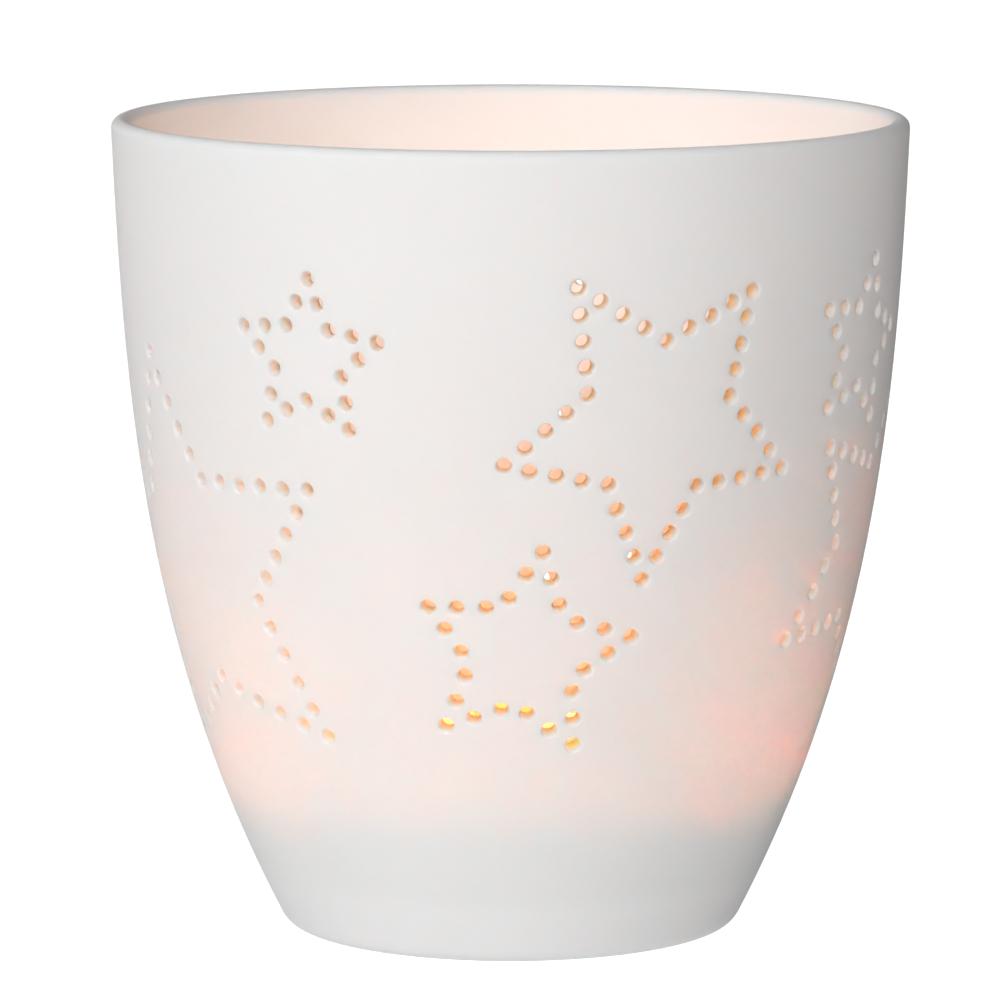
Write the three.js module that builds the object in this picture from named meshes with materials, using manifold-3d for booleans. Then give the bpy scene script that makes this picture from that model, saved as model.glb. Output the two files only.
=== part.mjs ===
// A porcelain tealight holder pierced with dotted stars, with the tealight that stands inside it.
// Millimetres, +Z up. The origin is the middle of the foot, on the surface the cup stands on.
import * as THREE from 'three';
import { mergeGeometries, mergeVertices } from 'three/addons/utils/BufferGeometryUtils.js';
import Module from 'manifold-3d';

const wasm = await Module();
wasm.setup();

const fittingGap = 0.3; // left between any two pieces that rest on or in each other
const weldTolerance = 1e-4;

// The cup: a slip-cast tumbler whose side leans out from the foot and straightens towards the rim.
const cupHeight = 92;
const rimRadius = 45;
const footRadius = 25.5;
const rimFlare = 3.9; // how far the side leans out evenly over the whole height
const bellyPower = 2.82; // how quickly the extra lean near the foot dies away
const wallThickness = 2.2;
const floorThickness = 4;
const footCorner = 1.4; // soft edge between the side and the foot
const footBreak = 0.3; // share of the soft edge's height where its slope changes
const footRingWidth = 4;
const footRecess = 0.8; // the middle of the underside stands clear of the table
const cornerFillet = 4; // inside, where the wall meets the floor
const filletPull = 0.5; // draws the middle of that curve in from the wall
const filletRunout = 1; // and its end further in along the floor
const filletSteps = 4;
const lipSteps = 6;
const wallRows = 9;
const rowCrowding = 1.3; // above 1, the rows of the wall stand closer together near the foot
const cupSides = 36;

// Stars, each drawn as evenly spaced pierced holes along the outline of a five-pointed star.
const holeRadius = 0.85;
const holeSides = 5;
const needleLength = 20; // the piercing needle tapers to a point, so each hole narrows slightly inwards
const needleOverrun = wallThickness; // its thick end stays this far outside the middle of the wall
const innerCornerRatio = 0.5; // inner corners lie at half the radius of the tips
const starCorners = 10;
const wallMarch = 12; // small steps used to walk up or down the curved wall
// bearing: degrees round from the front (-Y) towards +X. height and radius in mm.
// tilt: degrees the star leans towards +X. steps: holes from each tip to the next inner corner.
const stars = [
  { bearing: 2.2, height: 36.8, radius: 12, tilt: 9.3, steps: 2.5 }, // low, front
  { bearing: 21.9, height: 62.5, radius: 17.7, tilt: -33, steps: 4 }, // high, front right
  { bearing: 63.1, height: 68.6, radius: 9.4, tilt: 10.7, steps: 2 }, // high, right
  { bearing: 74.8, height: 45.6, radius: 18.6, tilt: 22.3, steps: 4 }, // right
  { bearing: 122, height: 54, radius: 12, tilt: 6, steps: 2.5 }, // back right
  { bearing: 164, height: 63, radius: 12, tilt: 6, steps: 2.5 }, // high, back
  { bearing: 167, height: 34, radius: 9, tilt: -9, steps: 2 }, // low, back
  { bearing: 208, height: 49, radius: 18, tilt: -14, steps: 4 }, // back left
  { bearing: 260, height: 67, radius: 9, tilt: -14, steps: 2 }, // high, left
  { bearing: 298.5, height: 43.2, radius: 24.7, tilt: -9.3, steps: 5 }, // left, the largest
  { bearing: 329.6, height: 68.8, radius: 8.9, tilt: 3, steps: 2 }, // high, front left
];

// The tealight: an ordinary 38 mm tealight in a drawn aluminium can.
const canHeight = 16.5;
const canBaseRadius = 18.7;
const canRimRadius = 19;
const canFoil = 0.3;
const canCorner = 1; // bevel round the base
const beadRadius = 0.4; // the edge is rolled outwards
const beadSteps = 4;
const waxBelowRim = 2.8;
const waxMeniscus = 0.5; // wax climbs this far where it meets the can
const meniscusKnee = { inward: 1, up: 0.125 }; // where the climbing wax bends level
const meniscusReach = 2.5; // the wax is level from here inwards
const tabRadius = 7.5;
const tabThickness = 0.3;
const collarHeight = 4;
const collarWall = 0.4;
const wickRadius = 0.8;
const wickAboveWax = 7;
const wickLean = 1.2; // the burnt tip curls over towards -X
const wickBend = 0.2; // share of the lean reached halfway up the bare wick
const wickRows = 14;
const candleSides = 32;
const smallSides = 16;
const wickSides = 8;

const canBase = floorThickness + fittingGap;
const canTop = canBase + canHeight;
const candleBase = canBase + canFoil + fittingGap;
const waxTop = canTop - waxBelowRim;
const waxRadius = canBaseRadius - canFoil - fittingGap;
const boreRadius = wickRadius + fittingGap;
const collarRadius = boreRadius + collarWall;
const wickTop = waxTop + wickAboveWax;

const outerRadius = (height) => {
  const drop = 1 - height / cupHeight;
  return rimRadius - rimFlare * drop - (rimRadius - rimFlare - footRadius) * drop ** bellyPower;
};

// How far the side moves out for each millimetre it rises.
const outerLean = (height) => {
  const drop = 1 - height / cupHeight;
  const bellyDepth = rimRadius - rimFlare - footRadius;
  return (rimFlare + bellyDepth * bellyPower * drop ** (bellyPower - 1)) / cupHeight;
};

// A point of the wall in its own half-plane, sunk into the wall by depth.
const wallPoint = (height, depth) => {
  const lean = outerLean(height);
  const along = Math.hypot(1, lean);
  return new THREE.Vector2(outerRadius(height) - depth / along, height + (depth * lean) / along);
};

const corner = (radius, height) => new THREE.Vector2(radius, height);

const roundStretch = (centre, radius, from, to, steps) =>
  Array.from({ length: steps + 1 }, (_, i) => {
    const angle = THREE.MathUtils.degToRad(from + ((to - from) * i) / steps);
    return corner(centre.x + radius * Math.cos(angle), centre.y + radius * Math.sin(angle));
  });

// Turns an outline (radius, height) about +Z, as one closed mesh with shared vertices.
function turned(outline, sides) {
  const geometry = new THREE.LatheGeometry(outline, sides).rotateX(Math.PI / 2);
  return welded(geometry);
}

function welded(geometry) {
  geometry.deleteAttribute('normal');
  geometry.deleteAttribute('uv');
  const merged = mergeVertices(geometry, weldTolerance);
  const index = merged.getIndex().array;
  const kept = [];
  for (let i = 0; i < index.length; i += 3) {
    const [a, b, c] = [index[i], index[i + 1], index[i + 2]];
    if (a !== b && b !== c && c !== a) kept.push(a, b, c);
  }
  merged.setIndex(kept);
  return merged;
}

function toSolid(geometry) {
  const vertProperties = new Float32Array(geometry.getAttribute('position').array);
  const triVerts = new Uint32Array(geometry.getIndex().array);
  return new wasm.Manifold(new wasm.Mesh({ numProp: 3, vertProperties, triVerts }));
}

function toGeometry(solid) {
  const mesh = solid.getMesh();
  const geometry = new THREE.BufferGeometry();
  geometry.setAttribute('position', new THREE.BufferAttribute(new Float32Array(mesh.vertProperties), 3));
  geometry.setIndex(new THREE.BufferAttribute(new Uint32Array(mesh.triVerts), 1));
  return geometry;
}

function cupOutline() {
  const lipRadius = wallThickness / 2;
  const lipHeight = cupHeight - lipRadius;
  const sideHeight = (row) => footCorner + (lipHeight - footCorner) * (row / wallRows) ** rowCrowding;
  const outside = Array.from({ length: wallRows }, (_, row) => wallPoint(sideHeight(row), 0));
  const lipOuter = wallPoint(lipHeight, 0);
  const lip = roundStretch(corner(lipOuter.x - lipRadius, lipHeight), lipRadius, 0, 180, lipSteps);
  const lowestInside = floorThickness + cornerFillet;
  const inside = Array.from({ length: wallRows }, (_, row) => sideHeight(wallRows - 1 - row))
    .filter((height) => height > lowestInside)
    .map((height) => wallPoint(height, wallThickness));
  const wallFoot = wallPoint(lowestInside, wallThickness);
  const fillet = new THREE.QuadraticBezierCurve(
    wallFoot,
    corner(wallPoint(floorThickness, wallThickness).x - filletPull, floorThickness),
    corner(wallFoot.x - cornerFillet - filletRunout, floorThickness),
  ).getPoints(filletSteps);
  const footEdge = footRadius - footCorner / 2;
  const footInner = footEdge - footRingWidth;
  return [
    corner(0, footRecess),
    corner(footInner - footRecess, footRecess),
    corner(footInner, 0),
    corner(footEdge, 0),
    corner(footEdge + (1 - footBreak) * footCorner, footBreak * footCorner),
    ...outside,
    ...lip,
    ...inside,
    ...fillet,
    corner(0, floorThickness),
  ];
}

// Evenly spaced points along the outline of a star, across and up from its middle.
function starDots({ radius, tilt, steps }) {
  const corners = Array.from({ length: starCorners + 1 }, (_, i) => {
    const angle = THREE.MathUtils.degToRad(tilt + (360 / starCorners) * i);
    const reach = i % 2 === 0 ? radius : radius * innerCornerRatio;
    return new THREE.Vector2(reach * Math.sin(angle), reach * Math.cos(angle));
  });
  return Array.from({ length: starCorners * steps }, (_, i) => {
    const place = i / steps;
    const edge = Math.floor(place);
    return corners[edge].clone().lerp(corners[edge + 1], place - edge);
  });
}

// A needle pushed through the wall from outside, square to it, at a star's dot.
function piercingNeedle(star, dot) {
  let height = star.height;
  for (let i = 0; i < wallMarch; i += 1) {
    height += dot.y / wallMarch / Math.hypot(1, outerLean(height));
  }
  const bearing = THREE.MathUtils.degToRad(star.bearing) + dot.x / outerRadius(height);
  const facing = new THREE.Vector3(Math.sin(bearing), -Math.cos(bearing), 0);
  const inward = facing.clone().setZ(-outerLean(height)).normalize().negate();
  const inWall = wallPoint(height, wallThickness / 2);
  const thickEnd = (holeRadius * needleLength) / (needleLength - needleOverrun);
  const needle = new THREE.ConeGeometry(thickEnd, needleLength, holeSides);
  const centre = new THREE.Vector3(facing.x * inWall.x, facing.y * inWall.x, inWall.y);
  centre.addScaledVector(inward, needleLength / 2 - needleOverrun);
  needle.applyQuaternion(new THREE.Quaternion().setFromUnitVectors(new THREE.Vector3(0, 1, 0), inward));
  needle.translate(centre.x, centre.y, centre.z);
  return needle;
}

function porcelainCup() {
  const needles = stars.flatMap((star) => starDots(star).map((dot) => piercingNeedle(star, dot)));
  const body = toSolid(turned(cupOutline(), cupSides));
  return toGeometry(body.subtract(toSolid(welded(mergeGeometries(needles)))));
}

function tealightCan() {
  const rolled = corner(canRimRadius + beadRadius, canTop - beadRadius);
  const innerRim = canRimRadius - canFoil;
  const innerBase = canBaseRadius - canFoil;
  return turned([
    corner(0, canBase),
    corner(canBaseRadius - canCorner, canBase),
    corner(canBaseRadius, canBase + canCorner),
    corner(canRimRadius, canTop - 2 * beadRadius),
    ...roundStretch(rolled, beadRadius, -90, 90, beadSteps),
    corner(innerRim, canTop),
    corner(innerBase, canBase + canCorner),
    corner(innerBase - canCorner, canBase + canFoil),
    corner(0, canBase + canFoil),
  ], candleSides);
}

function wax() {
  const pocketTop = candleBase + tabThickness + fittingGap;
  const collarPocketTop = candleBase + collarHeight + fittingGap;
  const pocketRadius = tabRadius + fittingGap;
  const collarPocket = collarRadius + fittingGap;
  return turned([
    corner(pocketRadius, candleBase),
    corner(waxRadius - canCorner, candleBase),
    corner(waxRadius, candleBase + canCorner),
    corner(waxRadius, waxTop + waxMeniscus),
    corner(waxRadius - meniscusKnee.inward, waxTop + meniscusKnee.up),
    corner(waxRadius - meniscusReach, waxTop),
    corner(boreRadius, waxTop),
    corner(boreRadius, collarPocketTop),
    corner(collarPocket, collarPocketTop),
    corner(collarPocket, pocketTop),
    corner(pocketRadius, pocketTop),
    corner(pocketRadius, candleBase),
  ], candleSides);
}

function wickTab() {
  return turned([
    corner(boreRadius, candleBase),
    corner(tabRadius, candleBase),
    corner(tabRadius, candleBase + tabThickness),
    corner(collarRadius, candleBase + tabThickness),
    corner(collarRadius, candleBase + collarHeight),
    corner(boreRadius, candleBase + collarHeight),
    corner(boreRadius, candleBase),
  ], smallSides);
}

function wick() {
  const middle = new THREE.CatmullRomCurve3([
    new THREE.Vector3(0, 0, candleBase),
    new THREE.Vector3(0, 0, (candleBase + waxTop) / 2),
    new THREE.Vector3(0, 0, waxTop),
    new THREE.Vector3(-wickLean * wickBend, 0, waxTop + wickAboveWax / 2),
    new THREE.Vector3(-wickLean, 0, wickTop),
  ]);
  const round = new THREE.Shape().absarc(0, 0, wickRadius, 0, 2 * Math.PI);
  const outline = new THREE.Shape(round.getPoints(wickSides).slice(0, wickSides));
  const sweep = { steps: wickRows, extrudePath: middle, bevelEnabled: false };
  return welded(new THREE.ExtrudeGeometry(outline, sweep));
}

const finishes = {
  porcelain: new THREE.MeshStandardMaterial({ color: 0xefe9e5, roughness: 0.55, metalness: 0 }),
  aluminium: new THREE.MeshStandardMaterial({ color: 0xc9cacc, roughness: 0.35, metalness: 1 }),
  paraffin: new THREE.MeshStandardMaterial({ color: 0xf6f1e2, roughness: 0.3, metalness: 0 }),
  tinplate: new THREE.MeshStandardMaterial({ color: 0xa7a9ab, roughness: 0.4, metalness: 1 }),
  cotton: new THREE.MeshStandardMaterial({ color: 0x4a4038, roughness: 0.95, metalness: 0 }),
};

function piece(name, geometry, finish) {
  const mesh = new THREE.Mesh(geometry, finish);
  mesh.name = name;
  return mesh;
}

const candle = new THREE.Group();
candle.add(piece('wax', wax(), finishes.paraffin));
candle.add(piece('wick', wick(), finishes.cotton));
candle.add(piece('wick_tab', wickTab(), finishes.tinplate));

const tealight = new THREE.Group();
tealight.add(piece('tealight_can', tealightCan(), finishes.aluminium));
tealight.add(candle);

const holder = new THREE.Group();
holder.add(piece('porcelain_cup', porcelainCup(), finishes.porcelain));
holder.add(tealight);

export default holder;
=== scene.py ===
import math
import random

import bmesh
import bpy
import numpy as np
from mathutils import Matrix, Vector
from mathutils.geometry import delaunay_2d_cdt


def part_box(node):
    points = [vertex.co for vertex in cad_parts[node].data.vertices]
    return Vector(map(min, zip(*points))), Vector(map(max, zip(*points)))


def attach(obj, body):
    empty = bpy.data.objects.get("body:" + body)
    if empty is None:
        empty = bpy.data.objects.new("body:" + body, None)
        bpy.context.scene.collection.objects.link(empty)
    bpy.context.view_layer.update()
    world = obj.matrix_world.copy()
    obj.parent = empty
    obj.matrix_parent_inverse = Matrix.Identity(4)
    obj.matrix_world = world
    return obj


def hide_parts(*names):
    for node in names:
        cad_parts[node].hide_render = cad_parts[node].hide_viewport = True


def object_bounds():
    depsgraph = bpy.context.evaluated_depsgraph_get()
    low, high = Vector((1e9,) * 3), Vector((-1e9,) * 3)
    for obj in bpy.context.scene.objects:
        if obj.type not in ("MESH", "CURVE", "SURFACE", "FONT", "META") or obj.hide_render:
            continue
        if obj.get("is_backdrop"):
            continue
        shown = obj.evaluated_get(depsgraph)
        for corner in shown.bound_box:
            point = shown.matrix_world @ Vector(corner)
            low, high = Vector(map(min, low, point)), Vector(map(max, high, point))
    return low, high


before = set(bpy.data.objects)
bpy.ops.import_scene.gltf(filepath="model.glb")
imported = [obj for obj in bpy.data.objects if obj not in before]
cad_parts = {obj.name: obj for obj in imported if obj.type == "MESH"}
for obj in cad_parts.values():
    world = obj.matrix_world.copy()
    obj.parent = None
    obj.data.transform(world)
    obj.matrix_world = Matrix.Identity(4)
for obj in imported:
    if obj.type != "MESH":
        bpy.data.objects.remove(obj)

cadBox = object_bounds()
mm = 0.001
fullTurn = 2 * math.pi
print("frame loaded:", ", ".join(sorted(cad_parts)))


# A shader output that can be used in plain sums. Every sum adds its Math node.
class Flow:
    def __init__(self, finish, socket):
        self.finish = finish
        self.socket = socket

    def sum(self, operation, *values):
        settings = {"operation": operation}
        return self.finish.add("ShaderNodeMath", settings, dict(enumerate(values)))

    def __add__(self, other):
        return self.sum("ADD", self, other)

    def __radd__(self, other):
        return self.sum("ADD", other, self)

    def __sub__(self, other):
        return self.sum("SUBTRACT", self, other)

    def __rsub__(self, other):
        return self.sum("SUBTRACT", other, self)

    def __mul__(self, other):
        return self.sum("MULTIPLY", self, other)

    def __rmul__(self, other):
        return self.sum("MULTIPLY", other, self)

    def __truediv__(self, other):
        return self.sum("DIVIDE", self, other)

    def __rtruediv__(self, other):
        return self.sum("DIVIDE", other, self)

    def __pow__(self, other):
        return self.sum("POWER", self, other)

    def __rpow__(self, other):
        return self.sum("POWER", other, self)

    def atLeast(self, other):
        return self.sum("MAXIMUM", self, other)


# A shader tree under construction, of a material or of the world.
class Finish:
    def __init__(self, owner):
        owner.use_nodes = True
        self.tree = owner.node_tree
        self.tree.nodes.clear()

    def socketOf(self, node, key):
        if isinstance(key, int):
            return node.inputs[key]
        for socket in node.inputs:
            if key in (socket.identifier, socket.name):
                return socket
        raise KeyError(key)

    def set(self, node, inputs):
        for key, value in inputs.items():
            socket = self.socketOf(node, key)
            if isinstance(value, Flow):
                self.tree.links.new(value.socket, socket)
            elif isinstance(value, (tuple, list)) and len(value) == 3 and len(socket.default_value) == 4:
                socket.default_value = (*value, 1)
            else:
                socket.default_value = value

    # Any node: its type, its settings (a ramp's stops among them), its socket values or links.
    def add(self, kind, settings=None, inputs=None, out=0):
        node = self.tree.nodes.new(kind)
        for key, value in (settings or {}).items():
            if key == "stops":
                self.fillRamp(node.color_ramp, value)
            else:
                setattr(node, key, value)
        self.set(node, inputs or {})
        return Flow(self, node.outputs[out]) if node.outputs else None

    def fillRamp(self, ramp, stops):
        while len(ramp.elements) < len(stops):
            ramp.elements.new(0.5)
        for element, (position, colour) in zip(ramp.elements, stops):
            element.position = position
            element.color = (*colour, 1)

    def place(self, out=3):
        return self.add("ShaderNodeTexCoord", out=out)

    def noise(self, place, size, detail=2.0, roughness=0.5):
        inputs = {"Vector": place, "Scale": 1 / size, "Detail": detail, "Roughness": roughness}
        return self.add("ShaderNodeTexNoise", {}, inputs)

    def stretched(self, place, scale):
        return self.add("ShaderNodeVectorMath", {"operation": "MULTIPLY"}, {0: place, 1: scale})

    def ramp(self, value, stops):
        return self.add("ShaderNodeValToRGB", {"stops": stops}, {"Fac": value})

    def between(self, value, low, high):
        settings = {"interpolation_type": "SMOOTHSTEP"}
        return self.add("ShaderNodeMapRange", settings, {"Value": value, "From Min": low, "From Max": high})

    def blend(self, factor, first, second):
        inputs = {"Factor_Float": factor, "A_Color": first, "B_Color": second}
        return self.add("ShaderNodeMix", {"data_type": "RGBA"}, inputs, out=2)

    def bump(self, height, distance):
        return self.add("ShaderNodeBump", {}, {"Height": height, "Distance": distance})

    # Distance from the upright axis, and height.
    def radiusAndHeight(self, place):
        x, y, z = (self.add("ShaderNodeSeparateXYZ", {}, {"Vector": place}, out=i) for i in range(3))
        return (x * x + y * y) ** 0.5, z


# A material's tree, with its Principled shader.
class Surface(Finish):
    def __init__(self, name, **uniform):
        self.material = bpy.data.materials.new(name)
        super().__init__(self.material)
        self.shader = self.add("ShaderNodeBsdfPrincipled", {}, uniform)
        self.add("ShaderNodeOutputMaterial", {}, {"Surface": self.shader})

    def wear(self, **varying):
        names = {"colour": "Base Color", "roughness": "Roughness", "alpha": "Alpha", "glow": "Emission Color",
                 "normal": "Normal"}
        self.set(self.shader.socket.node, {names[key]: value for key, value in varying.items()})
        return self.material


def link(name, mesh, body, slotName, *nodes):
    piece = bpy.data.objects.new(name, mesh)
    bpy.context.scene.collection.objects.link(piece)
    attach(piece, body)
    if nodes:
        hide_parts(*nodes)
    return piece


# Marks edges that turn by more than the limit as crisp, and smooths the rest.
def smoothed(mesh, limitDegrees=32):
    work = bmesh.new()
    work.from_mesh(mesh)
    for face in work.faces:
        face.smooth = True
    for edge in work.edges:
        if len(edge.link_faces) == 2 and edge.calc_face_angle() > math.radians(limitDegrees):
            edge.smooth = False
    work.to_mesh(mesh)
    work.free()
    return mesh


def arc(centre, radius, start, end, steps):
    angles = [math.radians(start + (end - start) * i / steps) for i in range(steps + 1)]
    return [(centre[0] + radius * math.cos(a), centre[1] + radius * math.sin(a)) for a in angles]


# Turns an outline of (radius, height) pairs about the axis. It closes at the axis or on itself.
def turned(name, outline, sides, wobble=None):
    closed = outline[0] == outline[-1]
    points = outline[:-1] if closed else outline
    verts, rings = [], []
    for radius, height in points:
        if radius < 1e-9:
            rings.append([len(verts)] * sides)
            verts.append((0, 0, height))
            continue
        rings.append(list(range(len(verts), len(verts) + sides)))
        for i in range(sides):
            angle = fullTurn * i / sides
            r = radius * (1 + wobble(angle, radius, height)) if wobble else radius
            verts.append((r * math.cos(angle), r * math.sin(angle), height))
    if closed:
        rings.append(rings[0])
    faces = []
    for lower, upper in zip(rings, rings[1:]):
        for i in range(sides):
            j = (i + 1) % sides
            loop = [lower[i], lower[j], upper[j], upper[i]]
            face = [v for k, v in enumerate(loop) if v != loop[k - 1]]
            faces.append(face)
    mesh = bpy.data.meshes.new(name)
    mesh.from_pydata(verts, [], faces)
    return smoothed(mesh)


# Porcelain cup
cup = {
    "height": 92 * mm,
    "rimRadius": 45 * mm,
    "footRadius": 25.5 * mm,
    "rimFlare": 3.9 * mm,
    "bellyPower": 2.82,
    "wall": 2.2 * mm,
    "floor": 4 * mm,
    "footCorner": 1.4 * mm,
    "footRing": 4 * mm,
    "footRecess": 0.8 * mm,
    "fillet": 4 * mm,
    "bandLow": 9.2 * mm,       # the pierced band of the wall starts here
    "columns": 168,
    "seamBearing": 144,        # a bearing that no star crosses
}
pierced = {
    "radius": 0.84 * mm,
    "softEdge": 0.26 * mm,
    "innerEdge": 0.14 * mm,
    "sides": 16,
    "sizeJitter": 0.03,
    "placeJitter": 0.07 * mm,
    "innerCorner": 0.5,      # a star's inner corners, as a share of its radius
    "narrowing": 0.95,       # the bore inside, as a share of the bore outside
    "sheetGap": 1.55,        # no sheet point stands nearer a hole than this, in hole radii
    "collar": 1.3,           # a ring of points round each hole, in hole radii
    "collarGap": 1.25,       # and how near it may come to the next hole
}
# bearing and tilt in degrees, height and radius in mm, steps from a tip to the next inner corner
stars = [
    {"bearing": 2.2, "height": 36.8, "radius": 12, "tilt": 9.3, "steps": 2.5},
    {"bearing": 21.9, "height": 62.5, "radius": 17.7, "tilt": -33, "steps": 4},
    {"bearing": 63.1, "height": 68.6, "radius": 9.4, "tilt": 10.7, "steps": 2},
    {"bearing": 74.8, "height": 45.6, "radius": 18.6, "tilt": 22.3, "steps": 4},
    {"bearing": 122, "height": 54, "radius": 12, "tilt": 6, "steps": 2.5},
    {"bearing": 164, "height": 63, "radius": 12, "tilt": 6, "steps": 2.5},
    {"bearing": 167, "height": 34, "radius": 9, "tilt": -9, "steps": 2},
    {"bearing": 208, "height": 49, "radius": 18, "tilt": -14, "steps": 4},
    {"bearing": 260, "height": 67, "radius": 9, "tilt": -14, "steps": 2},
    {"bearing": 298.5, "height": 43.2, "radius": 24.7, "tilt": -9.3, "steps": 5},
    {"bearing": 329.6, "height": 68.8, "radius": 8.9, "tilt": 3, "steps": 2},
]


def outerRadius(height):
    drop = np.clip(1 - height / cup["height"], 0, 1)
    belly = cup["rimRadius"] - cup["rimFlare"] - cup["footRadius"]
    return cup["rimRadius"] - cup["rimFlare"] * drop - belly * drop ** cup["bellyPower"]


def outerLean(height):
    drop = np.clip(1 - height / cup["height"], 0, 1)
    belly = cup["rimRadius"] - cup["rimFlare"] - cup["footRadius"]
    return (cup["rimFlare"] + belly * cup["bellyPower"] * drop ** (cup["bellyPower"] - 1)) / cup["height"]


# radius and height of a wall point sunk by depth, and the outward normal in its half-plane
def wallPoint(height, depth):
    lean = outerLean(height)
    along = np.hypot(1, lean)
    return outerRadius(height) - depth / along, height + depth * lean / along, 1 / along, -lean / along


lipRadius = cup["wall"] / 2
bandTop = cup["height"] - lipRadius
heightTable = np.linspace(0, bandTop, 2001)
stretchTable = np.concatenate([[0], np.cumsum(
    np.hypot(1, outerLean(heightTable[1:])) * np.diff(heightTable) / outerRadius(heightTable[1:]))])
walkTable = np.concatenate([[0], np.cumsum(np.hypot(1, outerLean(heightTable[1:])) * np.diff(heightTable))])


# The wall unrolled without shear: across is the bearing, up is the slant length over the radius.
def unrolled(height):
    return np.interp(height, heightTable, stretchTable)


def rolledHeight(up):
    return np.interp(up, stretchTable, heightTable)


def starDots(star):
    corners = []
    for i in range(11):
        angle = math.radians(star["tilt"] + 36 * i)
        reach = star["radius"] * (1 if i % 2 == 0 else pierced["innerCorner"]) * mm
        corners.append((reach * math.sin(angle), reach * math.cos(angle)))
    for i in range(int(10 * star["steps"])):
        edge = int(i / star["steps"])
        share = i / star["steps"] - edge
        (x0, y0), (x1, y1) = corners[edge], corners[edge + 1]
        yield x0 + (x1 - x0) * share, y0 + (y1 - y0) * share


# bearing, unrolled height and size factor of every pierced hole
def holePlaces():
    rng = random.Random(7)
    seam = math.radians(cup["seamBearing"])
    for star in stars:
        middle = np.interp(star["height"] * mm, heightTable, walkTable)
        for across, up in starDots(star):
            height = float(np.interp(middle + up, walkTable, heightTable))
            bearing = math.radians(star["bearing"]) + across / float(outerRadius(height))
            radius = float(outerRadius(height))
            bearing += rng.uniform(-1, 1) * pierced["placeJitter"] / radius
            lifted = float(unrolled(height)) + rng.uniform(-1, 1) * pierced["placeJitter"] / radius
            size = 1 + rng.uniform(-1, 1) * pierced["sizeJitter"]
            yield (bearing - seam) % fullTurn + seam, lifted, size


# Points, normals and faces of a growing mesh. Points are given as bearing, radius and height.
class Clay:
    def __init__(self):
        self.points, self.normals, self.faces = [], [], []

    def ring(self, bearings, radius, height, normalOut, normalUp):
        start = len(self.points)
        sine, cosine = np.sin(bearings), -np.cos(bearings)
        spread = (np.broadcast_to(value, sine.shape) for value in (radius, height, normalOut, normalUp))
        radius, height, normalOut, normalUp = spread
        self.points += np.column_stack([sine * radius, cosine * radius, height]).tolist()
        self.normals += np.column_stack([sine * normalOut, cosine * normalOut, normalUp]).tolist()
        return list(range(start, len(self.points)))

    def band(self, lower, upper):
        count = len(lower)
        for i in range(count):
            j = (i + 1) % count
            loop = [lower[i], lower[j], upper[j], upper[i]]
            self.faces.append([v for k, v in enumerate(loop) if v != loop[k - 1]])

    def mesh(self, name):
        seen, order = {}, []
        for i, point in enumerate(self.points):
            order.append(seen.setdefault(tuple(round(c, 8) for c in point), i))
        kept = sorted(set(order))
        place = {old: new for new, old in enumerate(kept)}
        faces = []
        for face in self.faces:
            loop = [place[order[v]] for v in face]
            loop = [v for k, v in enumerate(loop) if v != loop[k - 1]]
            if len(loop) > 2:
                faces.append(loop)
        mesh = bpy.data.meshes.new(name)
        mesh.from_pydata([self.points[i] for i in kept], [], faces)
        mesh.polygons.foreach_set("use_smooth", [True] * len(mesh.polygons))
        mesh.normals_split_custom_set_from_vertices([self.normals[i] for i in kept])
        return mesh


# The unrolled pierced band: points with the hole each rim point belongs to, and its triangles.
def piercedSheet(holes):
    columns = cup["columns"]
    seam = math.radians(cup["seamBearing"])
    low, high = float(unrolled(cup["bandLow"])), float(unrolled(bandTop))
    step = fullTurn / columns
    rows = int(round((high - low) / (step * 0.87) / 2)) * 2
    middles = np.array([(b, u) for b, u, _ in holes])
    reach = np.array([pierced["radius"] * size + pierced["softEdge"] for _, _, size in holes])
    reach = reach / outerRadius(rolledHeight(middles[:, 1]))
    points, owner, edges = [], [], []

    def nearest(bearing, up, skip=None):
        gap = np.hypot(middles[:, 0] - bearing, middles[:, 1] - up) / reach
        if skip is not None:
            gap[skip] = 9
        return gap.min()

    for row in range(rows + 1):
        up = low + (high - low) * row / rows
        shift = 0.5 if row % 2 else 0
        for column in range(columns + (0 if shift else 1)):
            bearing = seam + (column + shift) * step
            if row in (0, rows) or nearest(bearing, up) > pierced["sheetGap"]:
                points.append((bearing, up))
                owner.append(-1)
    for index, (bearing, up, _) in enumerate(holes):
        sides = pierced["sides"]
        start = len(points)
        for k in range(sides):
            angle = fullTurn * k / sides
            points.append((bearing + reach[index] * math.cos(angle), up + reach[index] * math.sin(angle)))
            owner.append(index)
        edges += [(start + k, start + (k + 1) % sides) for k in range(sides)]
        for k in range(sides):
            angle = fullTurn * (k + 0.5) / sides
            away = pierced["collar"] * reach[index]
            x, y = bearing + away * math.cos(angle), up + away * math.sin(angle)
            if nearest(x, y, skip=index) > pierced["collarGap"]:
                points.append((x, y))
                owner.append(-1)
    found = delaunay_2d_cdt([Vector(p) for p in points], edges, [], 0, 1e-9)
    origin = [sources[0] for sources in found[3]]
    triangles = []
    for face in found[2]:
        a, b, c = (origin[v] for v in face)
        if not owner[a] == owner[b] == owner[c] or owner[a] < 0:
            triangles.append((a, b, c))
    return np.array(points), np.array(owner), triangles


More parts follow.
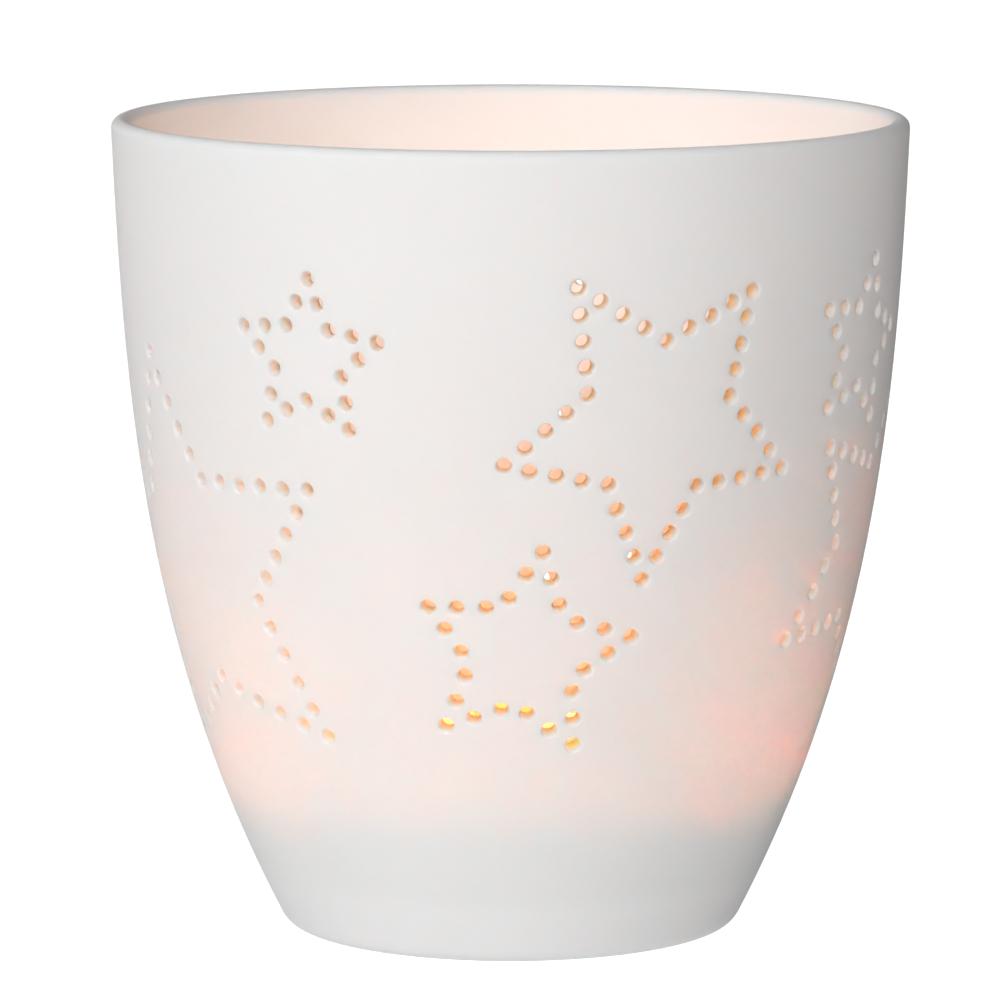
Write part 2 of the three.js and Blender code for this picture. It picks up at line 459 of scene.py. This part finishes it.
def cupMesh():
    clay = Clay()
    holes = list(holePlaces())
    points, owner, triangles = piercedSheet(holes)
    heights = rolledHeight(points[:, 1])
    sides = pierced["sides"]
    outer = clay.ring(points[:, 0], *wallPoint(heights, 0))
    clay.faces += [[outer[v] for v in triangle] for triangle in triangles]

    # the same sheet again on the inside, facing in, with its rims drawn to the narrower inner holes
    innerPoints = points.copy()
    for index, (bearing, up, size) in enumerate(holes):
        rim = np.where(owner == index)[0]
        outerReach = pierced["radius"] * size + pierced["softEdge"]
        innerReach = pierced["radius"] * size * pierced["narrowing"] + pierced["innerEdge"]
        innerPoints[rim] = (bearing, up) + (points[rim] - (bearing, up)) * innerReach / outerReach
    radius, height, normalOut, normalUp = wallPoint(rolledHeight(innerPoints[:, 1]), cup["wall"])
    inner = clay.ring(innerPoints[:, 0], radius, height, -normalOut, -normalUp)
    clay.faces += [[inner[v] for v in reversed(triangle)] for triangle in triangles]

    for index, hole in enumerate(holes):
        rim = np.where(owner == index)[0]
        pierce(clay, hole, [outer[v] for v in rim], [inner[v] for v in rim])

    columns = math.radians(cup["seamBearing"]) + fullTurn * np.arange(cup["columns"]) / cup["columns"]
    latheRest(clay, columns)
    return clay.mesh("cupPorcelain")


# The soft-edged tunnel of one hole, from the rim on the outside to the rim on the inside.
def pierce(clay, hole, outerRim, innerRim):
    bearing, up, size = hole
    radius = float(outerRadius(rolledHeight(up)))
    bore = pierced["radius"] * size
    soft, innerSoft, wall = pierced["softEdge"], pierced["innerEdge"], cup["wall"]
    narrow = bore * pierced["narrowing"]
    stages = [(bore + soft * (1 - math.sin(a)), soft * (1 - math.cos(a)), a) for a in np.radians([30, 60, 90])]
    stages += [((bore + narrow) / 2, wall / 2, math.pi / 2)]
    stages += [(narrow + innerSoft * (1 - math.sin(a)), wall - innerSoft * (1 - math.cos(a)), a)
               for a in np.radians([90, 135])]
    angles = fullTurn * np.arange(pierced["sides"]) / pierced["sides"]
    last = outerRim
    for reach, depth, turn in stages:
        bearings = bearing + reach * np.cos(angles) / radius
        lifted = rolledHeight(up + reach * np.sin(angles) / radius)
        r, z, normalOut, normalUp = wallPoint(lifted, depth)
        ring = clay.ring(bearings, r, z, normalOut, normalUp)
        outward = np.array([clay.normals[v] for v in ring])
        spots = np.array([clay.points[v] for v in ring])
        aside = spots - spots.mean(axis=0)
        aside /= np.linalg.norm(aside, axis=1)[:, None]
        turnedNormals = outward * math.cos(turn) - aside * math.sin(turn)
        for v, normal in zip(ring, turnedNormals.tolist()):
            clay.normals[v] = normal
        clay.band(last, ring)
        last = ring
    clay.band(last, innerRim)


# Everything of the cup that has no holes: underside, foot, lip and inside floor.
def latheRest(clay, columns):
    def rings(outline):
        flat = np.array(outline)
        run = np.gradient(flat, axis=0)
        length = np.maximum(np.linalg.norm(run, axis=1), 1e-12)
        made = []
        for (radius, height), (dr, dz) in zip(flat, run / length[:, None]):
            made.append(clay.ring(columns, radius, height, dz, -dr))
        for lower, upper in zip(made, made[1:]):
            clay.band(lower, upper)

    corner, recess = cup["footCorner"], cup["footRecess"]
    sideFoot = wallPoint(corner, 0)
    footEdge = cup["footRadius"] - corner / 2
    footInner = footEdge - cup["footRing"]

    def bend(a, b, c, steps):
        a, b, c = np.array(a), np.array(b), np.array(c)
        return [tuple((1 - t) ** 2 * a + 2 * t * (1 - t) * b + t * t * c) for t in np.linspace(0, 1, steps + 1)]

    underside = [(0, recess), (footInner * 0.5, recess), (footInner - 1.2 * recess, recess)]
    underside += bend((footInner - recess, recess), (footInner - 0.5 * recess, recess),
                      (footInner - 0.35 * recess, recess / 2), 3)
    underside += bend((footInner - 0.3 * recess, recess / 3), (footInner, 0), (footInner + 0.3 * recess, 0), 3)
    underside += [(footEdge - corner * 0.8, 0)]
    underside += bend((footEdge - corner * 0.5, 0), (footEdge + corner * 0.45, 0), (sideFoot[0], corner), 8)
    side = [tuple(wallPoint(h, 0)[:2]) for h in np.linspace(corner * 1.25, cup["bandLow"], 7)]
    rings(underside + side)

    top = wallPoint(bandTop, 0)
    lip = arc((top[0] - lipRadius, bandTop), lipRadius, 0, 180, 12)
    inTop = wallPoint(bandTop, cup["wall"])
    rings([(top[0], top[1])] + lip[1:-1] + [(inTop[0], inTop[1])])

    start = wallPoint(cup["bandLow"], cup["wall"])
    low = wallPoint(cup["floor"] + cup["fillet"], cup["wall"])
    elbow = (wallPoint(cup["floor"], cup["wall"])[0] - 0.5 * mm, cup["floor"])
    end = (low[0] - cup["fillet"] - 1 * mm, cup["floor"])
    inside = [(start[0], start[1])] + bend((low[0], low[1]), elbow, end, 12)
    inside += [(end[0] * share, cup["floor"]) for share in (0.97, 0.7, 0.4, 0)]
    rings(inside)


def porcelain():
    look = {
        "white": (0.9, 0.9, 0.9),
        "shade": (0.88, 0.878, 0.875),
        # painted light: the foot is painted paler, for the light the white table throws up
        "foot": (0.97, 0.97, 0.97),
        "paintedFootLightZone": (3 * mm, 9 * mm),
        "grain": 0.22 * mm,
        "waviness": 9 * mm,
        "glowReach": 2.1 * mm,
        "tunnelPaintedLight": (0.9, 0.71, 0.47),
        "lowTunnelPaintedLight": (0.95, 0.88, 0.36),
        "tunnelGlow": (0.16, 0.075, 0.025),   # light that leaks through the wall into the pierced holes
        "lowTunnels": (26 * mm, 29.5 * mm),   # below these heights the holes are painted yellow, for the light of the lit wax
        "paintedPaleSide": (-24 * mm, -6 * mm),      # the holes' painted candle light grows paler towards the left, where the studio light falls on their sides
        "paintedPaleShare": 0.2,
    }
    finish = Surface("bisquePorcelain", **{
        "Subsurface Weight": 1.0,
        "Subsurface Radius": (1.0, 0.84, 0.82),
        "Subsurface Scale": look["glowReach"],
        "IOR": 1.45,
        "Specular IOR Level": 0.3,
        "Emission Strength": 1.0,
    })
    place = finish.place()
    radius, height = finish.radiusAndHeight(place)
    aside = finish.add("ShaderNodeSeparateXYZ", {}, {"Vector": place}, out=0)
    cloud = finish.noise(place, 14 * mm, 3)
    grain = finish.noise(place, look["grain"], 2, 0.6)
    waves = finish.noise(place, look["waviness"], 1)
    specks = finish.between(finish.noise(place, 0.6 * mm, 0), 0.8, 0.86)
    colour = finish.blend(cloud, look["white"], look["shade"])
    # painted light: the foot is painted paler than the wall, for the light thrown up by the white table
    colour = finish.blend(1 - finish.between(height, *look["paintedFootLightZone"]), colour, look["foot"])
    colour = finish.blend(specks * 0.05, colour, (0.74, 0.71, 0.68))
    bumpy = finish.bump(grain * 0.012 + waves * 0.35, 0.1 * mm)

    # how deep a point lies in the wall, from 0 outside to 1 inside, to paint light only on the holes' sides
    belly = cup["rimRadius"] - cup["rimFlare"] - cup["footRadius"]
    drop = (1 - height / cup["height"]).atLeast(0.0)
    side = cup["rimRadius"] - cup["rimFlare"] * drop - belly * drop ** cup["bellyPower"]
    depth = (side - radius) / cup["wall"]
    # painted light: the holes' sides are painted orange, yellow low down, and made to glow, for the candle light
    # inside the wall; less of it on the left where the studio light falls
    pierceZone = finish.between(height, 17 * mm, 21 * mm) * (1 - finish.between(height, 84 * mm, 87 * mm))
    tunnel = finish.between(depth, 0.2, 0.7) * (1 - finish.between(depth, 0.88, 0.97)) * pierceZone
    glow = finish.blend(tunnel, (0, 0, 0), look["tunnelGlow"])
    paintedHoleLight = finish.blend(finish.between(height, *look["lowTunnels"]), look["lowTunnelPaintedLight"], look["tunnelPaintedLight"])
    pale = look["paintedPaleShare"]
    paintedLightShare = tunnel * (pale + (1 - pale) * finish.between(aside, *look["paintedPaleSide"]))
    colour = finish.blend(paintedLightShare, colour, paintedHoleLight)
    return finish.wear(colour=colour, roughness=0.52 + grain * 0.14, glow=glow, normal=bumpy)


porcelainCup = link("porcelainCup", cupMesh(), "holder", "porcelain", "porcelain_cup")
porcelainCup.data.materials.append(porcelain())
print("porcelain cup:", len(porcelainCup.data.polygons), "faces")


# Tealight can
can = {
    "base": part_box("tealight_can")[0].z,
    "top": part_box("tealight_can")[1].z,
    "baseRadius": 18.7 * mm,
    "rimRadius": 19 * mm,
    "bead": 0.4 * mm,
    "foil": 0.25 * mm,
    "panelLift": 0.15 * mm,
    "ribHeights": (0.3, 0.62),   # shallow rolled ribs, as shares of the can's height
    "ribDepth": 0.13 * mm,
    "sides": 128,
    "paintedRimLight": (0.8, 0.52, 0.1),   # painted light: a warm glow on the rim for the candle light that the cup's wall throws back
}


def canMesh():
    base, top, foil = can["base"], can["top"], can["foil"]
    height = top - base

    def side(share, inset):
        radius = can["baseRadius"] + (can["rimRadius"] - can["baseRadius"]) * share
        rib = sum(math.exp(-((share - at) * height / (0.5 * mm)) ** 2) for at in can["ribHeights"])
        return radius - inset - can["ribDepth"] * rib, base + share * height

    shares = np.linspace(0.07, 0.93, 44)
    bead = (can["rimRadius"] + can["bead"], top - can["bead"])
    outline = [(0, base + can["panelLift"]), (15 * mm, base + can["panelLift"])]
    outline += arc((15.4 * mm, base + 0.5 * mm), 0.5 * mm, -70, -90, 2)[1:]
    outline += arc((can["baseRadius"] - 1 * mm, base + 1 * mm), 1 * mm, -90, 0, 7)
    outline += [side(s, 0) for s in shares]
    outline += arc(bead, can["bead"], -110, 90, 12)
    outline += arc((can["rimRadius"] + 0.05 * mm, top - 0.3 * mm), 0.3 * mm, 90, 180, 4)[1:]
    outline += [side(s, foil) for s in reversed(shares)]
    inner = can["baseRadius"] - foil
    outline += arc((inner - 0.8 * mm, base + foil + 0.8 * mm), 0.8 * mm, 0, -90, 6)
    outline += [(15 * mm, base + can["panelLift"] + foil), (0, base + can["panelLift"] + foil)]
    return turned("canFoil", outline, can["sides"])


def drawnAluminium():
    finish = Surface("drawnAluminium", **{"Metallic": 1.0, "IOR": 1.45, "Emission Strength": 1.0})
    place = finish.place()
    radius, height = finish.radiusAndHeight(place)
    rings = finish.add("ShaderNodeCombineXYZ", {}, {"X": radius, "Y": height})
    drawing = finish.noise(finish.stretched(rings, (5200, 5200, 0)), 1, 2)
    smear = finish.noise(finish.stretched(place, (220, 220, 60)), 1, 3)
    dull = finish.noise(place, 5 * mm, 3)
    colour = finish.blend(dull, (0.84, 0.845, 0.86), (0.72, 0.725, 0.74))
    bumpy = finish.bump(drawing * 0.5 + dull * 0.6, 0.02 * mm)
    # painted light: the can's rim glows warm for the candle light thrown back by the cup's wall
    rim = finish.between(height, can["top"] - 5 * mm, can["top"] - 0.6 * mm)
    paintedRimGlow = finish.blend(rim, (0, 0, 0), can["paintedRimLight"])
    return finish.wear(colour=colour, roughness=0.2 + smear * 0.22, glow=paintedRimGlow, normal=bumpy)


tealightCan = link("tealightCan", canMesh(), "tealight", "can_foil", "tealight_can")
tealightCan.data.materials.append(drawnAluminium())
print("tealight can done")


# Wax, wick and wick tab
candle = {
    "base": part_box("wax")[0].z,
    "top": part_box("wax")[1].z - 0.5 * mm,   # the melted surface, below the meniscus at the can
    "radius": 18.1 * mm,
    "poolRadius": 15.2 * mm,
    "poolDepth": 0.22 * mm,
    "pocketRadius": 7.8 * mm,
    "pocketTop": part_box("wick_tab")[0].z + 0.6 * mm,
    "collarPocket": 1.8 * mm,
    "collarTop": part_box("wick_tab")[1].z + 0.3 * mm,
    "bore": 1.1 * mm,
}


def waxMesh():
    top, pool = candle["top"], candle["poolRadius"]
    level = top - candle["poolDepth"]
    outline = [(candle["pocketRadius"], candle["base"])]
    outline += [(candle["radius"] - 1.2 * mm, candle["base"])]
    outline += [(candle["radius"] - 0.3 * mm, candle["base"] + 0.4 * mm)]
    outline += [(candle["radius"], candle["base"] + 1.3 * mm), (candle["radius"], top + 0.2 * mm)]
    outline += [(candle["radius"], top + 0.48 * mm), (candle["radius"] - 0.15 * mm, top + 0.42 * mm)]
    outline += [(candle["radius"] - rise * mm, top + 0.42 * mm * math.exp(-rise / 0.6))
                for rise in (0.4, 0.7, 1.1, 1.6)]
    outline += [(pool + 0.8 * mm, top + 0.06 * mm), (pool + 0.35 * mm, top + 0.03 * mm), (pool, level + 0.1 * mm)]
    outline += [(pool - 0.4 * mm, level + 0.02 * mm)]
    outline += [(pool * share, level) for share in (0.9, 0.75, 0.6, 0.45, 0.3)]
    climb = (2.6, 2.1, 1.75, 1.5, 1.3, 1.15)
    outline += [(r * mm, level + 0.7 * mm * math.exp(-(r - 1.1) / 0.45)) for r in climb]
    outline += [(candle["bore"], level + 0.72 * mm), (candle["bore"], candle["collarTop"])]
    outline += [(candle["collarPocket"], candle["collarTop"]), (candle["collarPocket"], candle["pocketTop"])]
    outline += [(candle["pocketRadius"], candle["pocketTop"]), (candle["pocketRadius"], candle["base"])]

    def wobble(angle, radius, height):
        near = math.exp(-((radius - pool) / (1.2 * mm)) ** 2) if height > top - 1 * mm else 0
        waves = 0.018 * math.sin(3 * angle + 0.7) + 0.011 * math.sin(7 * angle + 2.1) + 0.006 * math.sin(13 * angle)
        return near * waves

    return turned("waxFill", outline, 128, wobble)


def paraffin():
    finish = Surface("paraffin", **{
        "Subsurface Weight": 1.0,
        "Subsurface Radius": (1.0, 0.8, 0.6),
        "Subsurface Scale": 3.5 * mm,
        "IOR": 1.44,
        "Specular IOR Level": 0.5,
    })
    place = finish.place()
    radius, height = finish.radiusAndHeight(place)
    edge = finish.noise(place, 4 * mm, 2) * (3 * mm) - 1.5 * mm
    solid = finish.between(radius + edge, candle["poolRadius"] - 0.5 * mm, candle["poolRadius"] + 0.6 * mm)
    frost = finish.noise(place, 0.7 * mm, 3, 0.65)
    colour = finish.blend(solid, (0.9, 0.83, 0.68), (0.95, 0.93, 0.88))
    colour = finish.blend(frost * 0.25, colour, (0.98, 0.97, 0.94))
    bumpy = finish.bump(frost * solid, 0.06 * mm)
    return finish.wear(colour=colour, roughness=0.06 + solid * (0.28 + frost * 0.2), normal=bumpy)


waxFill = link("waxFill", waxMesh(), "candle", "wax", "wax")
waxFill.data.materials.append(paraffin())

wick = {
    "low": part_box("wick")[0].z,
    "top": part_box("wick")[1].z,
    "waxTop": candle["top"],
    "lean": 1.2 * mm,
    "strand": 0.3 * mm,
    "swing": 0.34 * mm,
    "braidLength": 1.9 * mm,
    "steps": 110,
    "sides": 8,
}


def wickMiddle(share):
    height = wick["low"] + (wick["top"] - wick["low"] - 0.2 * mm) * share
    free = max(0.0, (height - wick["waxTop"]) / (wick["top"] - wick["waxTop"]))
    return Vector((-wick["lean"] * free ** 2.2, 0, height))


# A closed tube through the points, with a radius at each.
def tube(verts, faces, path, radii, sides):
    rings = []
    for i, (spot, radius) in enumerate(zip(path, radii)):
        ahead = (path[min(i + 1, len(path) - 1)] - path[max(i - 1, 0)]).normalized()
        across = ahead.cross(Vector((0, 1, 0))).normalized()
        other = ahead.cross(across)
        rings.append(range(len(verts), len(verts) + sides))
        for k in range(sides):
            angle = fullTurn * k / sides
            verts.append(spot + radius * (math.cos(angle) * across + math.sin(angle) * other))
    for lower, upper in zip(rings, rings[1:]):
        for k in range(sides):
            j = (k + 1) % sides
            faces.append((lower[k], lower[j], upper[j], upper[k]))
    faces.append(tuple(reversed(rings[0])))
    faces.append(tuple(rings[-1]))


def wickMesh():
    rng = random.Random(3)
    verts, faces = [], []
    length = wick["top"] - wick["low"]
    for strand in range(3):
        reach = 1 - 0.035 * strand
        path, radii = [], []
        for i in range(wick["steps"] + 1):
            share = reach * i / wick["steps"]
            turn = fullTurn * (share * length / wick["braidLength"] + strand / 3)
            burnt = max(0.0, share - 0.75) / 0.25
            sway = Vector((math.sin(turn) * wick["swing"], math.sin(2 * turn) * wick["swing"] * 0.62, 0))
            path.append(wickMiddle(share) + sway * (1 + 0.25 * burnt))
            radii.append(wick["strand"] * (1 - 0.3 * burnt + 0.1 * burnt * rng.uniform(-1, 1)))
        radii[-1] *= 0.5
        tube(verts, faces, path, radii, wick["sides"])
    mesh = bpy.data.meshes.new("wickBraid")
    mesh.from_pydata(verts, [], faces)
    return smoothed(mesh, 70)


def charredCotton():
    finish = Surface("charredCotton", **{"Emission Strength": 2.5, "Specular IOR Level": 0.25, "IOR": 1.45})
    place = finish.place()
    radius, height = finish.radiusAndHeight(place)
    share = (height - wick["waxTop"]) / (wick["top"] - wick["waxTop"])
    fibres = finish.noise(finish.stretched(place, (9000, 9000, 2600)), 1, 3)
    colour = finish.ramp(share + fibres * 0.12, [
        (0.0, (0.72, 0.62, 0.46)), (0.14, (0.3, 0.22, 0.14)), (0.3, (0.03, 0.025, 0.022)),
        (1.0, (0.012, 0.011, 0.011))])
    ember = finish.ramp(share + fibres * 0.2, [
        (0.0, (0, 0, 0)), (0.93, (0, 0, 0)), (1.0, (1.0, 0.22, 0.03)), (1.0, (1.0, 0.35, 0.06))])
    bumpy = finish.bump(fibres, 0.12 * mm)
    return finish.wear(colour=colour, roughness=0.75 + fibres * 0.2, glow=ember, normal=bumpy)


wickBraid = link("wickBraid", wickMesh(), "candle", "wick", "wick")
wickBraid.data.materials.append(charredCotton())

tab = {
    "base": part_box("wick_tab")[0].z,
    "top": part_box("wick_tab")[1].z,
    "radius": 7.5 * mm,
    "plate": 0.3 * mm,
    "bore": 1.1 * mm,
    "collar": 1.5 * mm,
    "crimps": 4,
    "crimpDepth": 0.05,
}


def tabMesh():
    base, plate, collar, bore = tab["base"], tab["plate"], tab["collar"], tab["bore"]
    outline = [(bore, base), (tab["radius"] - 0.1 * mm, base)]
    outline += arc((tab["radius"] - plate / 2, base + plate / 2), plate / 2, -60, 60, 4)
    outline += [(tab["radius"] - 0.3 * mm, base + plate), (4.2 * mm, base + plate), (3.6 * mm, base + plate)]
    outline += arc((collar + 0.5 * mm, base + plate + 0.5 * mm), 0.5 * mm, -90, -180, 5)
    outline += [(collar, base + plate + rise * mm) for rise in (1, 1.5, 2, 2.5, 3)]
    outline += arc((collar - 0.2 * mm, tab["top"] - 0.2 * mm), 0.2 * mm, 0, 180, 5)
    outline += [(bore, base)]

    def crimp(angle, radius, height):
        if radius < collar - 0.01 * mm or height < base + 1.2 * mm or height > base + 3.1 * mm:
            return 0
        return -tab["crimpDepth"] * max(0.0, math.cos(tab["crimps"] * angle)) ** 3

    return turned("wickTab", outline, 64, crimp)


def tinplate():
    finish = Surface("pressedTinplate", **{"Metallic": 1.0, "IOR": 1.45})
    place = finish.place()
    rolled = finish.noise(finish.stretched(place, (300, 6000, 6000)), 1, 2)
    spangle = finish.noise(place, 1.6 * mm, 2)
    colour = finish.blend(spangle, (0.62, 0.63, 0.64), (0.48, 0.485, 0.5))
    bumpy = finish.bump(rolled, 0.015 * mm)
    return finish.wear(colour=colour, roughness=0.28 + rolled * 0.2, normal=bumpy)


wickTab = link("wickTab", tabMesh(), "candle", "tinplate", "wick_tab")
wickTab.data.materials.append(tinplate())
print("candle done")


# The flame, in nested glowing shells, and the light it gives.
flame = {
    "low": 20.7 * mm,
    "tip": 35.2 * mm,
    "radius": 4.5 * mm,
    "lean": -0.9 * mm,
    "shells": (1.0, 0.8, 0.58),
    "shellAlpha": 0.5,
    "brightness": 1.35,
    "lampSize": 1.6 * mm,
    # each lamp's place (aside, towards the back, height) and power in watts
    "wallLights": [((0, 0, 28.5 * mm), 0.031),
                   ((-13 * mm, 0, 23.5 * mm), 0.019), ((13 * mm, 0, 23.5 * mm), 0.024)],
    # wide spots at the side walls, and their spread in degrees
    "sideLights": [((-5 * mm, -2 * mm, 32 * mm), 0.07), ((5 * mm, -2 * mm, 32 * mm), 0.14)],
    "sideSpread": 106,
    "wallColour": (1.0, 0.29, 0.09),
    "softLight": ((0, 0, 31 * mm), 0.0028),
    "softColour": (1.0, 0.42, 0.36),
    "poolLight": ((0, 0, 28 * mm), 0.018),
    "poolColour": (1.0, 0.8, 0.25),
}


def flameMesh():
    verts, faces = [], []
    sides, rows = 36, 36
    for grow in flame["shells"]:
        low = flame["low"] + (1 - grow) * 1.2 * mm
        tall = (flame["tip"] - flame["low"]) * (0.35 + 0.65 * grow)
        start = len(verts)
        for i in range(rows + 1):
            share = i / rows
            width = math.sin(math.pi * min(1.0, share ** 0.66)) ** 0.75 * (1 - 0.45 * share)
            radius = max(flame["radius"] * grow * width * 1.18, 0.01 * mm)
            across = flame["lean"] * min(1.0, 0.4 + share)
            for k in range(sides):
                angle = fullTurn * k / sides
                verts.append((across + radius * math.cos(angle), radius * math.sin(angle), low + tall * share))
        for i in range(rows):
            for k in range(sides):
                j = (k + 1) % sides
                row = start + i * sides
                faces.append((row + k, row + j, row + sides + j, row + sides + k))
        faces.append(tuple(start + k for k in reversed(range(sides))))
        faces.append(tuple(start + rows * sides + k for k in range(sides)))
    mesh = bpy.data.meshes.new("flameShells")
    mesh.from_pydata(verts, [], faces)
    return smoothed(mesh, 80)


def burning():
    finish = Surface("burning", **{
        "Emission Strength": flame["brightness"],
        "Roughness": 1.0,
        "Specular IOR Level": 0.0,
        "Base Color": (0, 0, 0),
    })
    place = finish.place()
    radius, height = finish.radiusAndHeight(place)
    share = (height - flame["low"]) / (flame["tip"] - flame["low"])
    flicker = finish.noise(finish.stretched(place, (900, 900, 220)), 1, 1)
    tone = share + flicker * 0.1 - 0.05
    colour = finish.ramp(tone, [(0.0, (0.03, 0.07, 0.4)), (0.12, (0.35, 0.2, 0.15)), (0.26, (1.0, 0.62, 0.12)),
                                (0.5, (1.0, 0.86, 0.3)), (0.8, (1.0, 0.74, 0.2)), (1.0, (1.0, 0.5, 0.08))])
    seen = finish.between(tone, -0.02, 0.3)
    return finish.wear(glow=colour, alpha=(seen * 0.85 + 0.15) * flame["shellAlpha"])


flameShells = link("flameShells", flameMesh(), "candle", "wick")
flameShells.data.materials.append(burning())
flameShells.visible_shadow = False
flameShells.visible_diffuse = False


def lamp(name, kind, spot, power, colour, size):
    data = bpy.data.lights.new(name, kind)
    data.energy = power
    data.color = colour
    if kind == "AREA":
        data.shape = "DISK"
        data.size = size
    else:
        data.shadow_soft_size = size
    lampObject = bpy.data.objects.new(name, data)
    lampObject.location = spot
    lampObject.visible_camera = False
    bpy.context.scene.collection.objects.link(lampObject)
    return lampObject


# A light in the flame that reaches only some pieces, so that the wax doesn't glare.
def flameLight(name, place, power, colour, pieces, kind="POINT"):
    glow = lamp(name, kind, place + Vector((flame["lean"], 0, 0)), power, colour, flame["lampSize"])
    lit = bpy.data.collections.new(name + "Lit")
    for piece in pieces:
        lit.objects.link(piece)
    glow.light_linking.receiver_collection = lit
    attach(glow, "candle")
    return glow


for index, (place, power) in enumerate(flame["wallLights"]):
    direct = flameLight(f"wallLight{index}", Vector(place), power, flame["wallColour"], [porcelainCup])
    direct.data.cycles.max_bounces = 0   # it shines through the wall once and isn't passed on
for index, (place, power) in enumerate(flame["sideLights"]):
    spot = flameLight(f"sideLight{index}", Vector(place), power, flame["wallColour"], [porcelainCup], "SPOT")
    spot.data.spot_size = math.radians(flame["sideSpread"])
    spot.data.spot_blend = 1.0
    spot.data.cycles.max_bounces = 0
    spot.rotation_euler = Vector((place[0], place[1], 0)).to_track_quat("-Z", "Y").to_euler()
for name, lit in (("soft", [porcelainCup]), ("pool", [tealightCan, waxFill, wickBraid, wickTab])):
    place, power = flame[name + "Light"]
    flameLight(name + "Light", Vector(place), power, flame[name + "Colour"], lit)
print("flame done")


# Studio
studio = {
    "skyGlow": 0.02,
    "tableGlow": 0.92,
    "floorWhite": 0.9,
    "floorGlow": 0.95,
    "floorReach": 12,
    "floorDrop": 0.2 * mm,   # keeps the floor clear of the foot
    "distance": 1.5,
    "size": 0.7,
    # bearing round from the front towards +X and height in degrees, power in watts
    "lights": {
        "front": (0, 27, 12.0),
        "leftFront": (-45, 23, 5.9),
        "rightFront": (45, 27, 2.2),
        "left": (-90, 19, 4.1),
        "leftBack": (-135, 12, 2.8),
        "tableLeft": (-60, -72, 2.2),
    },
}
view = {
    "distance": 750.5 * mm,
    "height": 156 * mm,
    "aside": -1.18 * mm,
    "pitchDown": 8.17,
    "lens": 240.3,
    "sensor": 36,
}


# Soft light from all round: one brightness from above, another from the white table below.
def softSurround():
    world = bpy.data.worlds.new("surround")
    bpy.context.scene.world = world
    around = Finish(world)
    height = around.add("ShaderNodeSeparateXYZ", {}, {"Vector": around.place(0)}, out=2)
    below, above = ((value,) * 3 for value in (studio["tableGlow"], studio["skyGlow"]))
    shade = around.ramp(height * 0.5 + 0.5, [(0.0, below), (0.12, below), (0.32, above), (1.0, above)])
    light = around.add("ShaderNodeBackground", {}, {"Color": shade, "Strength": 1.0})
    around.add("ShaderNodeOutputWorld", {}, {"Surface": light})


softSurround()


def paleFloor():
    finish = Surface("paleFloor", **{
        "Roughness": 0.9,
        "Emission Strength": studio["floorGlow"],
        "Specular IOR Level": 0.1,
        "Emission Color": (1, 1, 1),
    })
    place = finish.place()
    mottle = finish.noise(place, 0.3, 2)
    white = studio["floorWhite"]
    return finish.wear(colour=finish.blend(mottle, (white, white, white), (white - 0.01,) * 3))


floorMesh = bpy.data.meshes.new("floor")
reach = studio["floorReach"]
corners = [(-reach, -reach, 0), (reach, -reach, 0), (reach, reach, 0), (-reach, reach, 0)]
floorMesh.from_pydata(corners, [], [(0, 1, 2, 3)])
floor = bpy.data.objects.new("floor", floorMesh)
floor.location.z = -studio["floorDrop"]
bpy.context.scene.collection.objects.link(floor)
floor.data.materials.append(paleFloor())
floor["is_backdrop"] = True
floor.visible_diffuse = False
floor.visible_glossy = False
floor.visible_shadow = False

for name, (bearing, rise, power) in studio["lights"].items():
    turn, lift = math.radians(bearing), math.radians(rise)
    way = Vector((math.sin(turn) * math.cos(lift), -math.cos(turn) * math.cos(lift), math.sin(lift)))
    middle = Vector((0, 0, cup["height"] / 2))
    softBox = lamp(name, "AREA", middle + way * studio["distance"], power, (1, 1, 1), studio["size"])
    softBox.rotation_euler = way.to_track_quat("Z", "Y").to_euler()

cameraData = bpy.data.cameras.new("camera")
cameraData.sensor_width = view["sensor"]
cameraData.lens = view["lens"]
cameraData.clip_start = 0.01
camera = bpy.data.objects.new("camera", cameraData)
camera.location = (view["aside"], -view["distance"], view["height"])
camera.rotation_euler = (math.radians(90 - view["pitchDown"]), 0, 0)
bpy.context.scene.collection.objects.link(camera)
bpy.context.scene.camera = camera
bpy.context.scene.view_settings.view_transform = "Standard"
print("studio done")

[[list(corner) for corner in box] for box in (cadBox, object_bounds())]
